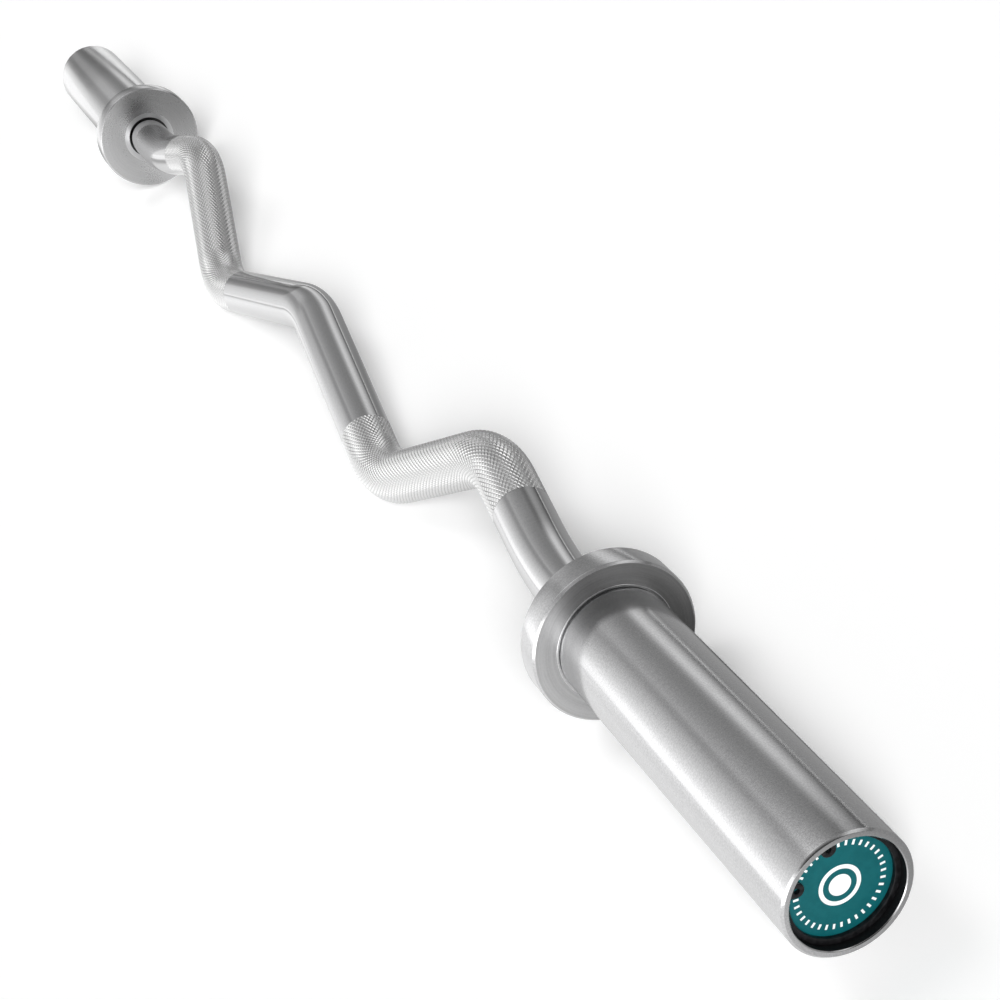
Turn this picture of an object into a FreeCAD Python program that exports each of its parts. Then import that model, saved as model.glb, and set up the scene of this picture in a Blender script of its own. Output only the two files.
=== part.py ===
import FreeCAD, Part
import math
import os
import re

import Sketcher

# An ez curl bar at rest on the floor: both collars and the two deep bends of the shaft touch it.
# X runs along the bar, +Z is up, and the origin is on the floor under the middle of the bar.
# On each side, places along the bar are measured outward from the inner face of the collar.

# Driving sizes in millimetres
sizes = {
    # bent shaft, from the collar to the middle: runs lie along the bar, rises and drops across it
    "shaft_diameter": 27,
    "end_run": 50,
    "outer_run": 84.5,
    "outer_rise": 21.5,
    "grip_run": 108.5,
    "grip_drop": 59,
    "centre_run": 159,
    "centre_rise": 40.3,
    "end_bend_radius": 210,
    "outer_bend_radius": 56,
    "deep_bend_radius": 63,
    "centre_bend_radius": 69,
    # journal that carries the sleeve
    "journal_step": 1,
    "journal_chamfer": 1,
    "journal_tip": 3,
    "journal_end_gap": 4,
    # collar
    "collar_diameter": 72,
    "collar_thickness": 14,
    "collar_wall": 4,
    "collar_edge": 1,
    "mouth_clearance": 0.9,
    "mouth_bevel_width": 3.6,
    "mouth_bevel_depth": 0.8,
    "root_lip_width": 1.6,
    "root_lip_height": 0.7,
    # sleeve that takes the plates
    "sleeve_diameter": 50,
    "sleeve_length": 184,
    "spigot_step": 1.5,
    "root_groove_width": 1.5,
    "root_groove_depth": 0.6,
    "rim_wall": 3,
    "rim_depth": 4,
    "rim_chamfer": 0.9,
    "rim_inner_chamfer": 0.4,
    # seal between the collar and the shaft
    "seal_width": 5,
    "seal_rim": 1,
    "seal_gap": 1,
    # needle bearings
    "bearing_length": 26,
    "cup_wall": 1,
    "lip_clearance": 0.6,
    "needle_diameter": 2.3,
    "cage_thickness": 1.1,
    "cage_rim": 2,
    # thrust washers and retaining rings on the journal
    "washer_thickness": 2,
    "washer_gap": 0.5,
    "retaining_ring_thickness": 1.5,
    "retaining_ring_height": 2,
    "retaining_groove_depth": 0.6,
    "retaining_ring_opening": 6,
    # end cap, its label and the snap ring that holds it
    "cap_thickness": 3,
    "label_thickness": 0.5,
    "label_margin": 1.6,
    "snap_ring_thickness": 2,
    "snap_ring_cover": 2.1,
    "snap_groove_depth": 1,
    "snap_ring_opening": 11,
    "ear_radius": 2.8,
    "ear_hole_radius": 1.1,
    "ear_overlap": 0.6,
    # clearances
    "fit_clearance": 0.1,
    "running_clearance": 0.1,
    "axial_clearance": 0.3,
    "overrun": 5,
}

# Shares, counts and angles in degrees
ratios = {
    "seal_lip_share": 0.4,
    "needle_count": 16,
    "ear_spread": 58,
    "snap_ring_turn": 19,
    "full_turn": 360,
}

# Sizes and places that follow from the driving sizes
formulas = {
    "shaft_radius": "shaft_diameter / 2",
    "half_span": "end_run + outer_run + grip_run + centre_run",
    "centre_offset": "outer_rise - grip_drop + centre_rise",
    "centre_slope": "atan(centre_rise / centre_run)",
    "deep_turn": "atan(grip_drop / grip_run) + centre_slope",
    "deep_tangent": "deep_bend_radius * tan(deep_turn / 2)",
    "deep_bend_depth": "grip_drop - outer_rise - deep_tangent * sin(centre_slope)"
                       " + deep_bend_radius * (1 - cos(centre_slope))",
    "centre_crown": "centre_offset - centre_bend_radius * (1 / cos(centre_slope) - 1)",
    "collar_radius": "collar_diameter / 2",
    "rest_tilt": "asin(min(1; (collar_radius - shaft_radius) / deep_bend_depth))",
    "sleeve_radius": "sleeve_diameter / 2",
    "sleeve_end": "collar_thickness + sleeve_length",
    "spigot_radius": "sleeve_radius - spigot_step",
    "root_radius": "sleeve_radius - root_groove_depth",
    "root_groove_end": "collar_thickness + root_groove_width",
    "mouth_radius": "shaft_radius + mouth_clearance",
    "root_lip_bore": "root_radius + fit_clearance",
    "root_lip_radius": "root_lip_bore + root_lip_width",
    "journal_radius": "shaft_radius - journal_step",
    "pitch_radius": "journal_radius + running_clearance + needle_diameter / 2",
    "raceway_radius": "journal_radius + needle_diameter + 2 * running_clearance",
    "bore_radius": "raceway_radius + cup_wall",
    "lip_radius": "journal_radius + lip_clearance",
    "seal_end": "collar_wall + seal_width",
    "seal_bore": "shaft_radius + running_clearance",
    "seal_lip": "collar_wall + seal_width * seal_lip_share",
    "shoulder_at": "seal_end + seal_gap",
    "inner_cup_at": "shoulder_at + washer_thickness + axial_clearance",
    "recess_radius": "sleeve_radius - rim_wall",
    "ring_top": "sleeve_end - rim_depth",
    "cap_top": "ring_top - snap_ring_thickness",
    "cap_floor": "cap_top - cap_thickness",
    "snap_groove_radius": "recess_radius + snap_groove_depth",
    "snap_ring_radius": "snap_groove_radius - fit_clearance",
    "snap_ring_bore": "recess_radius - snap_ring_cover",
    "ear_place": "snap_ring_bore - ear_radius + ear_overlap",
    "cap_radius": "recess_radius - fit_clearance",
    "label_radius": "recess_radius - label_margin",
    "inlay_radius": "label_radius + fit_clearance",
    "inlay_floor": "cap_top - label_thickness",
    "journal_end": "cap_floor - journal_end_gap",
    "retaining_ring_end": "journal_end - journal_tip",
    "retaining_ring_at": "retaining_ring_end - retaining_ring_thickness",
    "retaining_groove_end": "retaining_ring_end + fit_clearance",
    "retaining_groove_radius": "journal_radius - retaining_groove_depth",
    "retaining_ring_bore": "retaining_groove_radius + fit_clearance",
    "retaining_ring_radius": "journal_radius + retaining_ring_height",
    "outer_washer_at": "retaining_ring_at - washer_thickness",
    "outer_cup_at": "outer_washer_at - axial_clearance - bearing_length",
    "washer_bore": "journal_radius + fit_clearance",
    "washer_radius": "bore_radius - washer_gap",
    "spacer_radius": "bore_radius - fit_clearance",
    "inner_cup_end": "inner_cup_at + bearing_length",
    "cage_inset": "cup_wall + axial_clearance",
    "needle_inset": "cage_inset + cage_rim",
    "needle_length": "bearing_length - 2 * needle_inset",
    "pocket_inset": "needle_inset - running_clearance",
    "pocket_length": "needle_length + 2 * running_clearance",
    "pocket_width": "needle_diameter + 2 * running_clearance",
    "cage_bore": "pitch_radius - cage_thickness / 2",
    "cage_radius": "pitch_radius + cage_thickness / 2",
}

doc = FreeCAD.newDocument("ez_curl_bar")
sheet = doc.addObject("Spreadsheet::Sheet", "Sizes")
known_names = set()


def fill_sheet():
    rows = list(sizes.items()) + list(ratios.items())
    rows += [(name, "=" + formula) for name, formula in formulas.items()]
    for row, (name, content) in enumerate(rows, start=1):
        sheet.set(f"A{row}", name)
        sheet.set(f"B{row}", str(content))
        sheet.setAlias(f"B{row}", name)
        known_names.add(name)
    doc.recompute()


def cells(text):
    # Point every known name in an expression at its cell in the sheet.
    return re.sub(r"[a-z_]+", lambda word: "Sizes." + word[0] if word[0] in known_names else word[0], text)


def value(text):
    result = sheet.evalExpression(cells(text))
    return float(getattr(result, "Value", result))


def new_body(label):
    body = doc.addObject("PartDesign::Body", label)
    body.Label = label
    return body


def origin_plane(body, role):
    return next(feature for feature in body.Origin.OriginFeatures if feature.Role == role)


def new_sketch(body, role, name):
    sketch = body.newObject("Sketcher::SketchObject", name)
    sketch.AttachmentSupport = [(origin_plane(body, role), "")]
    sketch.MapMode = "FlatFace"
    return sketch


def bind(sketch, constraint, name, text):
    index = sketch.addConstraint(constraint)
    sketch.renameConstraint(index, name)
    sketch.setExpression(f"Constraints.{name}", cells(text))


def fix_point(sketch, line, point, tag):
    # Hold the start of a line at a place given by two expressions.
    for axis, kind, text in ((-2, "DistanceX", point[0]), (-1, "DistanceY", point[1])):
        if text == "0":
            sketch.addConstraint(Sketcher.Constraint("PointOnObject", line, 1, axis))
        else:
            constraint = Sketcher.Constraint(kind, -1, 1, line, 1, value(text))
            bind(sketch, constraint, f"{tag}_{kind[-1].lower()}", text)


def draw_outline(sketch, points):
    corners = [FreeCAD.Vector(value(x), value(y), 0) for x, y in points]
    for index, corner in enumerate(corners):
        following = corners[(index + 1) % len(corners)]
        sketch.addGeometry(Part.LineSegment(corner, following))
    for index in range(len(points)):
        following = (index + 1) % len(points)
        sketch.addConstraint(Sketcher.Constraint("Coincident", index, 2, following, 1))
    for index, point in enumerate(points):
        fix_point(sketch, index, point, f"corner_{index}")


def draw_circle(sketch, radius, tag):
    # A circle on the sketch's origin.
    index = sketch.addGeometry(Part.Circle(FreeCAD.Vector(), FreeCAD.Vector(0, 0, 1), value(radius)))
    sketch.addConstraint(Sketcher.Constraint("Coincident", index, 3, -1, 1))
    bind(sketch, Sketcher.Constraint("Radius", index, value(radius)), tag, radius)
    return index


def draw_circle_at(sketch, radius, place, tag):
    centre = FreeCAD.Vector(value(place[0]), value(place[1]), 0)
    index = sketch.addGeometry(Part.Circle(centre, FreeCAD.Vector(0, 0, 1), value(radius)))
    bind(sketch, Sketcher.Constraint("Radius", index, value(radius)), f"{tag}_radius", radius)
    if place[0] == "0":
        sketch.addConstraint(Sketcher.Constraint("PointOnObject", index, 3, -2))
    else:
        bind(sketch, Sketcher.Constraint("DistanceX", -1, 1, index, 3, centre.x), f"{tag}_x", place[0])
    bind(sketch, Sketcher.Constraint("DistanceY", -1, 1, index, 3, centre.y), f"{tag}_y", place[1])


def turned(label, points):
    # A piece turned about the X axis from its half section: places along the bar, then radii.
    body = new_body(label)
    section = new_sketch(body, "XY_Plane", label + "_section")
    draw_outline(section, points)
    revolution = body.newObject("PartDesign::Revolution", label + "_turning")
    revolution.Profile = section
    revolution.ReferenceAxis = (section, ["H_Axis"])
    revolution.setExpression("Angle", cells("full_turn"))
    doc.recompute()
    return body


def tube(label, start, end, bore, radius):
    return turned(label, [(start, bore), (start, radius), (end, radius), (end, bore)])


def pad(body, sketch, start, length):
    # Raise a sketch drawn across the bar, from its place along X.
    sketch.setExpression("AttachmentOffset.Base.z", cells(start))
    feature = body.newObject("PartDesign::Pad", sketch.Label + "_pad")
    feature.Profile = sketch
    feature.setExpression("Length", cells(length))
    doc.recompute()
    return feature


def cut_upward(body, sketch, length):
    # Cut upward from a sketch through its body, and make sure that the cut took something away.
    before = body.Shape.Volume
    feature = body.newObject("PartDesign::Pocket", sketch.Label + "_cut")
    feature.Profile = sketch
    feature.Reversed = True
    feature.setExpression("Length", cells(length))
    doc.recompute()
    if not body.Shape.Volume < before:
        raise RuntimeError(sketch.Label + " cuts nothing")
    return feature


def repeat_round(body, feature, count):
    pattern = body.newObject("PartDesign::PolarPattern", body.Label + "_pattern")
    pattern.Originals = [feature]
    pattern.Axis = (next(axis for axis in body.Origin.OriginFeatures if axis.Role == "X_Axis"), [""])
    pattern.setExpression("Angle", cells("full_turn"))
    pattern.setExpression("Occurrences", cells(count))
    body.Tip = pattern
    doc.recompute()


def draw_shaft_path(path):
    # Half of the shaft's centreline, from the middle outward: four straight runs and four bends.
    # The runs lie on construction lines through the corners that the bends round off.
    runs = ["centre_run", "grip_run", "outer_run", "end_run + shoulder_at"]
    rises = ["centre_rise", "grip_drop", "outer_rise"]
    radii = ["centre_bend_radius", "deep_bend_radius", "outer_bend_radius", "end_bend_radius"]
    corners = [FreeCAD.Vector(0, value("centre_offset"), 0)]
    for run, rise, up in zip(runs, rises + ["0"], (-1, 1, -1, 0)):
        corners.append(corners[-1] + FreeCAD.Vector(value(run), up * value(rise), 0))
    guides = []
    for start, end in zip(corners, corners[1:]):
        guides.append(path.addGeometry(Part.LineSegment(start, end), True))
    for guide, following in zip(guides, guides[1:]):
        path.addConstraint(Sketcher.Constraint("Coincident", guide, 2, following, 1))
    path.addConstraint(Sketcher.Constraint("PointOnObject", guides[0], 1, -2))
    path.addConstraint(Sketcher.Constraint("PointOnObject", guides[-1], 1, -1))
    path.addConstraint(Sketcher.Constraint("PointOnObject", guides[-1], 2, -1))
    for guide, run in zip(guides, runs):
        bind(path, Sketcher.Constraint("DistanceX", guide, 1, guide, 2, value(run)), f"run_{guide}", run)
    for guide, rise, lower in zip(guides, rises, (2, 1, 2)):
        constraint = Sketcher.Constraint("DistanceY", guide, lower, guide, 3 - lower, value(rise))
        bind(path, constraint, f"rise_{guide}", rise)

    mirrored_corner = FreeCAD.Vector(-corners[1].x, corners[1].y, 0)
    befores = [mirrored_corner] + corners
    bends = []
    for before, corner, after, radius in zip(befores, corners, corners[1:], radii):
        arriving = (corner - before).normalize()
        leaving = (after - corner).normalize()
        half_turn = arriving.getAngle(leaving) / 2
        inward = (leaving - arriving).normalize()
        centre = corner + inward * (value(radius) / math.cos(half_turn))
        tangent = value(radius) * math.tan(half_turn)
        bends.append((corner - arriving * tangent, centre - inward * value(radius), corner + leaving * tangent))
    crown = bends[0][1]
    quarter = value("centre_slope") / 2
    centre = crown - FreeCAD.Vector(0, value("centre_bend_radius"), 0)
    swing = FreeCAD.Rotation(FreeCAD.Vector(0, 0, 1), -quarter)
    bends[0] = (crown, centre + swing.multVec(crown - centre), bends[0][2])

    arcs = [path.addGeometry(Part.Arc(*bend)) for bend in bends]
    straights = []
    for bend, following in zip(bends, bends[1:]):
        straights.append(path.addGeometry(Part.LineSegment(bend[2], following[0])))
    straights.append(path.addGeometry(Part.LineSegment(bends[-1][2], corners[-1])))
    for arc, radius in zip(arcs, radii):
        bind(path, Sketcher.Constraint("Radius", arc, value(radius)), f"bend_{arc}", radius)
    path.addConstraint(Sketcher.Constraint("PointOnObject", arcs[0], 3, -2))
    for bend, arc, straight, guide in zip(bends, arcs, straights, guides):
        # An arc that turns clockwise along the path is stored with its ends the other way round.
        last = end_near(path, arc, bend[2])
        path.addConstraint(Sketcher.Constraint("Tangent", arc, last, straight, 1))
        path.addConstraint(Sketcher.Constraint("PointOnObject", straight, 1, guide))
    for bend, arc, straight, guide in zip(bends[1:], arcs[1:], straights, guides):
        first = end_near(path, arc, bend[0])
        path.addConstraint(Sketcher.Constraint("Tangent", straight, 2, arc, first))
        path.addConstraint(Sketcher.Constraint("PointOnObject", straight, 2, guide))
    path.addConstraint(Sketcher.Constraint("PointOnObject", arcs[0], end_near(path, arcs[0], crown), -2))
    path.addConstraint(Sketcher.Constraint("Coincident", straights[-1], 2, guides[-1], 2))


def end_near(sketch, curve, place):
    gap_to_start = (sketch.getPoint(curve, 1) - place).Length
    gap_to_end = (sketch.getPoint(curve, 2) - place).Length
    return 1 if gap_to_start < gap_to_end else 2


def bent_shaft():
    body = new_body("bent_shaft")
    path = new_sketch(body, "XY_Plane", "shaft_path")
    draw_shaft_path(path)
    section = new_sketch(body, "YZ_Plane", "shaft_section")
    section.setExpression("AttachmentOffset.Base.x", cells("centre_crown"))
    draw_circle(section, "shaft_radius", "radius")
    doc.recompute()
    pipe = body.newObject("PartDesign::AdditivePipe", "shaft_tube")
    pipe.Profile = section
    pipe.Spine = path
    doc.recompute()

    journal = new_sketch(body, "XY_Plane", "journal_section")
    journal.setExpression("AttachmentOffset.Base.x", cells("half_span"))
    draw_outline(journal, [
        ("shoulder_at", "0"),
        ("shoulder_at", "journal_radius"),
        ("retaining_ring_at", "journal_radius"),
        ("retaining_ring_at", "retaining_groove_radius"),
        ("retaining_groove_end", "retaining_groove_radius"),
        ("retaining_groove_end", "journal_radius"),
        ("journal_end - journal_chamfer", "journal_radius"),
        ("journal_end", "journal_radius - journal_chamfer"),
        ("journal_end", "0"),
    ])
    turning = body.newObject("PartDesign::Revolution", "journal_turning")
    turning.Profile = journal
    turning.ReferenceAxis = (journal, ["H_Axis"])
    turning.setExpression("Angle", cells("full_turn"))
    doc.recompute()

    mirror = body.newObject("PartDesign::Mirrored", "other_half")
    mirror.Originals = [pipe, turning]
    mirror.MirrorPlane = (origin_plane(body, "YZ_Plane"), [""])
    body.Tip = mirror
    doc.recompute()
    return body


def collar(label):
    return turned(label, [
        ("0", "mouth_radius + mouth_bevel_width"),
        ("0", "collar_radius - collar_edge"),
        ("collar_edge", "collar_radius"),
        ("collar_thickness - collar_edge", "collar_radius"),
        ("collar_thickness", "collar_radius - collar_edge"),
        ("collar_thickness", "root_lip_radius"),
        ("collar_thickness + root_lip_height", "root_lip_radius"),
        ("collar_thickness + root_lip_height", "root_lip_bore"),
        ("collar_thickness", "root_lip_bore"),
        ("collar_thickness", "spigot_radius"),
        ("collar_wall", "spigot_radius"),
        ("collar_wall", "mouth_radius"),
        ("mouth_bevel_depth", "mouth_radius"),
    ])


def sleeve(label):
    return turned(label, [
        ("collar_wall", "bore_radius"),
        ("collar_wall", "spigot_radius"),
        ("collar_thickness", "spigot_radius"),
        ("collar_thickness", "root_radius"),
        ("root_groove_end", "root_radius"),
        ("root_groove_end", "sleeve_radius"),
        ("sleeve_end - rim_chamfer", "sleeve_radius"),
        ("sleeve_end", "sleeve_radius - rim_chamfer"),
        ("sleeve_end", "recess_radius + rim_inner_chamfer"),
        ("sleeve_end - rim_inner_chamfer", "recess_radius"),
        ("ring_top + fit_clearance", "recess_radius"),
        ("ring_top + fit_clearance", "snap_groove_radius"),
        ("cap_top", "snap_groove_radius"),
        ("cap_top", "recess_radius"),
        ("cap_floor", "recess_radius"),
        ("cap_floor", "bore_radius"),
    ])


def shaft_seal(label):
    return turned(label, [
        ("collar_wall", "seal_bore"),
        ("collar_wall", "bore_radius"),
        ("seal_end", "bore_radius"),
        ("seal_end", "bore_radius - seal_rim"),
        ("seal_lip", "bore_radius - seal_rim"),
        ("seal_lip", "seal_bore"),
    ])


def bearing_cup(label, start):
    end = f"{start} + bearing_length"
    return turned(label, [
        (start, "lip_radius"),
        (start, "bore_radius"),
        (end, "bore_radius"),
        (end, "lip_radius"),
        (f"{end} - cup_wall", "lip_radius"),
        (f"{end} - cup_wall", "raceway_radius"),
        (f"{start} + cup_wall", "raceway_radius"),
        (f"{start} + cup_wall", "lip_radius"),
    ])


def bearing_cage(label, start):
    body = tube(label, f"{start} + cage_inset", f"{start} + bearing_length - cage_inset",
                "cage_bore", "cage_radius")
    window = new_sketch(body, "XY_Plane", label + "_window")
    window.setExpression("AttachmentOffset.Base.y", cells("-pocket_width / 2"))
    near = f"{start} + pocket_inset"
    far = f"{start} + pocket_inset + pocket_length"
    draw_outline(window, [(near, "0"), (far, "0"), (far, "pocket_width"), (near, "pocket_width")])
    repeat_round(body, cut_upward(body, window, "cage_radius + overrun"), "needle_count")
    return body


def bearing_needles(label, start):
    body = new_body(label)
    end_view = new_sketch(body, "YZ_Plane", label + "_round")
    draw_circle_at(end_view, "needle_diameter / 2", ("0", "pitch_radius"), "needle")
    needle = pad(body, end_view, f"{start} + needle_inset", "needle_length")
    repeat_round(body, needle, "needle_count")
    return body


def thrust_washer(label, start):
    return tube(label, start, f"{start} + washer_thickness", "washer_bore", "washer_radius")


def open_ring(body, opening, radius):
    # Cut the gap, at the top, that lets a spring ring open and close.
    gap = new_sketch(body, "XY_Plane", body.Label + "_gap")
    gap.setExpression("AttachmentOffset.Base.y", cells(f"-({opening}) / 2"))
    draw_outline(gap, [("0", "0"), ("sleeve_end", "0"), ("sleeve_end", opening), ("0", opening)])
    cut_upward(body, gap, f"{radius} + overrun")


def shaft_retaining_ring(label):
    body = tube(label, "retaining_ring_at", "retaining_ring_end", "retaining_ring_bore", "retaining_ring_radius")
    open_ring(body, "retaining_ring_opening", "retaining_ring_radius")
    return body


def end_cap(label):
    return turned(label, [
        ("cap_floor", "0"),
        ("cap_floor", "cap_radius"),
        ("cap_top", "cap_radius"),
        ("cap_top", "inlay_radius"),
        ("inlay_floor", "inlay_radius"),
        ("inlay_floor", "0"),
    ])


def end_cap_label(label):
    return turned(label, [
        ("inlay_floor", "0"),
        ("inlay_floor", "label_radius"),
        ("cap_top", "label_radius"),
        ("cap_top", "0"),
    ])


def end_cap_snap_ring(label):
    body = tube(label, "cap_top", "ring_top", "snap_ring_bore", "snap_ring_radius")
    open_ring(body, "snap_ring_opening", "snap_ring_radius")
    side = "ear_place * sin(ear_spread / 2)"
    up = "ear_place * cos(ear_spread / 2)"
    for tag, across in (("first_ear", side), ("second_ear", "-" + side)):
        ear = new_sketch(body, "YZ_Plane", f"{label}_{tag}")
        ear.setExpression("AttachmentOffset.Base.x", cells(across))
        draw_circle_at(ear, "ear_radius", ("0", up), "ear")
        draw_circle_at(ear, "ear_hole_radius", ("0", up), "hole")
        pad(body, ear, "cap_top", "snap_ring_thickness")
    return body


def place(body, along, facing, roll):
    # Set a piece down on the bar's axis, which is one collar radius above the floor,
    # rolled about that axis and then faced along or against X.
    base = f"vector({along}; 0; collar_radius)"
    rotation = f"rotation(vector(0; 0; 1); {facing}) * rotation(vector(1; 0; 0); {roll})"
    body.setExpression("Placement", cells(f"placement({base}; {rotation})"))


def build_side(side):
    along, facing = ("half_span", "0") if side == "right" else ("-half_span", "full_turn / 2")
    pieces = [
        collar(side + "_collar"),
        sleeve(side + "_sleeve"),
        shaft_seal(side + "_shaft_seal"),
        thrust_washer(side + "_inner_thrust_washer", "shoulder_at"),
        tube(side + "_bearing_spacer", "inner_cup_end", "outer_cup_at", "raceway_radius", "spacer_radius"),
        thrust_washer(side + "_outer_thrust_washer", "outer_washer_at"),
        shaft_retaining_ring(side + "_shaft_retaining_ring"),
        end_cap(side + "_end_cap"),
        end_cap_label(side + "_end_cap_label"),
    ]
    for row in ("inner", "outer"):
        start = f"{row}_cup_at"
        pieces.append(bearing_cup(f"{side}_{row}_bearing_cup", start))
        pieces.append(bearing_cage(f"{side}_{row}_bearing_cage", start))
        pieces.append(bearing_needles(f"{side}_{row}_bearing_needles", start))
    for piece in pieces:
        place(piece, along, facing, "0")
    snap_ring = end_cap_snap_ring(side + "_end_cap_snap_ring")
    place(snap_ring, along, facing, "snap_ring_turn")
    return pieces + [snap_ring]


def check_document(pieces):
    for item in doc.Objects:
        if "Invalid" in item.State or "Error" in item.State:
            raise RuntimeError(f"{item.Label}: {item.State}")
    for piece in pieces:
        if piece.Shape.isNull() or not piece.Shape.isValid():
            raise RuntimeError(f"{piece.Label} has no valid shape")


fill_sheet()
shaft = bent_shaft()
place(shaft, "0", "0", "rest_tilt")
all_pieces = [shaft] + build_side("right") + build_side("left")
doc.recompute()
check_document(all_pieces)

os.makedirs("parts", exist_ok=True)
for piece in all_pieces:
    piece.Shape.exportStep(f"parts/{piece.Label}.step")
print(len(all_pieces), "pieces written")
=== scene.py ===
import math

import bmesh
import bpy
from mathutils import Matrix, Vector


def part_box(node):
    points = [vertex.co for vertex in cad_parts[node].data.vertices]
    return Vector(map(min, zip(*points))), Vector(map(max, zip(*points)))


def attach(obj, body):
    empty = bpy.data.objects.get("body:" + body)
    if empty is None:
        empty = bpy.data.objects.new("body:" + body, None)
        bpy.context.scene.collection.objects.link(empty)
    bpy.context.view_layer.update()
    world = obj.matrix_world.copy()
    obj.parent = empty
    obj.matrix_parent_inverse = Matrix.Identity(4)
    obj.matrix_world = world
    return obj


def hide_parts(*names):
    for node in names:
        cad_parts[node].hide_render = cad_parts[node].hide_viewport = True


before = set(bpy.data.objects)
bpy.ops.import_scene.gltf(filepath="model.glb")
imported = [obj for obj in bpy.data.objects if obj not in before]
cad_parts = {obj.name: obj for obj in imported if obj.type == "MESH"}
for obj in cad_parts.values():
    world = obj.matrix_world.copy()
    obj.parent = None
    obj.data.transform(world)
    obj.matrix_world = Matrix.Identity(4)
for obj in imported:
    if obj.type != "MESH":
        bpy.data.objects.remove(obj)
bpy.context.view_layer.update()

collarLow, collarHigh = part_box("right_collar")
axisHeight = (collarLow.z + collarHigh.z) / 2  # the bar's turning axis above the floor
collarFace = collarLow.x  # inner face of a collar, from the middle of the bar
sides = {"right": 1, "left": -1}
fullTurn = 2 * math.pi
print("frame loaded, axis at", round(axisHeight, 5), "collar face at", round(collarFace, 5))


# Node helpers, for shader and geometry trees alike

def addNode(tree, kind, **settings):
    node = tree.nodes.new(kind)
    for name, setting in settings.items():
        setattr(node, name, setting)
    return node


def feed(tree, socket, source):  # a link from another socket, or a fixed value
    if isinstance(source, bpy.types.NodeSocket):
        tree.links.new(source, socket)
    else:
        socket.default_value = source


def feedInOrder(tree, sockets, sources):
    for socket, source in zip(sockets, sources):
        feed(tree, socket, source)


def wire(tree, kind, sources, **settings):  # the outputs of a new node, with its named inputs fed
    node = addNode(tree, kind, **settings)
    for name, source in sources.items():
        feed(tree, node.inputs[name], source)
    return node.outputs


def calc(tree, operation, *sources):
    node = addNode(tree, "ShaderNodeMath", operation=operation)
    feedInOrder(tree, node.inputs, sources)
    return node.outputs[0]


def vectorCalc(tree, operation, *sources):
    node = addNode(tree, "ShaderNodeVectorMath", operation=operation)
    feedInOrder(tree, [socket for socket in node.inputs if socket.enabled], sources)
    return next(socket for socket in node.outputs if socket.enabled)


def split(tree, vector):
    return wire(tree, "ShaderNodeSeparateXYZ", {"Vector": vector})


def combine(tree, **parts):
    return wire(tree, "ShaderNodeCombineXYZ", parts)["Vector"]


def span(tree, value, fromLow, fromHigh, toLow, toHigh):  # smooth, and level beyond both ends
    node = addNode(tree, "ShaderNodeMapRange", interpolation_type="SMOOTHSTEP")
    feedInOrder(tree, node.inputs, (value, fromLow, fromHigh, toLow, toHigh))
    return node.outputs[0]


def rise(tree, value, low, high):  # from 0 at low to 1 at high
    return span(tree, value, low, high, 0.0, 1.0)


def fall(tree, value, low, high):  # from 1 at low to 0 at high
    return span(tree, value, low, high, 1.0, 0.0)


def window(tree, value, start, full, fade, end):  # 1 from full to fade, 0 before start and after end
    return calc(tree, "MULTIPLY", rise(tree, value, start, full), fall(tree, value, fade, end))


def levels(tree, value, stops):  # straight lines between (value, brightness) stops
    low, high = stops[0][0], stops[-1][0]
    ramp = addNode(tree, "ShaderNodeValToRGB")
    elements = ramp.color_ramp.elements
    while len(elements) < len(stops):
        elements.new(1.0)
    for element, (place, level) in zip(elements, stops):
        element.position = (place - low) / (high - low)
        element.color = (level / 2,) * 3 + (1,)  # halved, so that a colour stays under 1
    share = calc(tree, "DIVIDE", calc(tree, "SUBTRACT", value, low), high - low)
    tree.links.new(share, ramp.inputs["Fac"])
    return calc(tree, "MULTIPLY", ramp.outputs["Color"], 2.0)


def noise(tree, place, scale, detail, roughness=0.5):
    sources = {"Vector": place, "Scale": scale, "Detail": detail, "Roughness": roughness}
    return wire(tree, "ShaderNodeTexNoise", sources)["Fac"]


def blendColours(tree, factor, first, second):
    node = addNode(tree, "ShaderNodeMix", data_type="RGBA")
    feed(tree, node.inputs["Factor"], factor)
    feed(tree, node.inputs[6], first)  # the two colours come after the numbers and vectors
    feed(tree, node.inputs[7], second)
    return node.outputs[2]


def objectCoords(tree):
    return addNode(tree, "ShaderNodeTexCoord").outputs["Object"]


def fromAxis(tree, coords):  # the place measured from the bar's axis, and its distance from it
    parts = split(tree, vectorCalc(tree, "SUBTRACT", coords, (0, 0, axisHeight)))
    across = combine(tree, Y=parts["Y"], Z=parts["Z"])
    return parts, vectorCalc(tree, "LENGTH", across)


def newGroup(name, kind, inputs, outputs):
    group = bpy.data.node_groups.new(name, kind)
    for label, socketType, value in inputs:
        socket = group.interface.new_socket(name=label, in_out="INPUT", socket_type=socketType)
        if value is not None:
            socket.default_value = value
    for label, socketType in outputs:
        group.interface.new_socket(name=label, in_out="OUTPUT", socket_type=socketType)
    given = addNode(group, "NodeGroupInput").outputs
    result = addNode(group, "NodeGroupOutput").inputs
    return group, given, result


def placeGroup(tree, group, **values):
    return wire(tree, "ShaderNodeGroup", values, node_tree=group)


# Shader groups: the marks that several finishes share

turningSettings = {
    "waver": {"scale": 60.0, "detail": 2.0},
    "rings": {"detail": 3.0, "roughness": 0.6},
    "grain": {"scale": 1400.0, "detail": 3.0, "roughness": 0.65},
}


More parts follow.
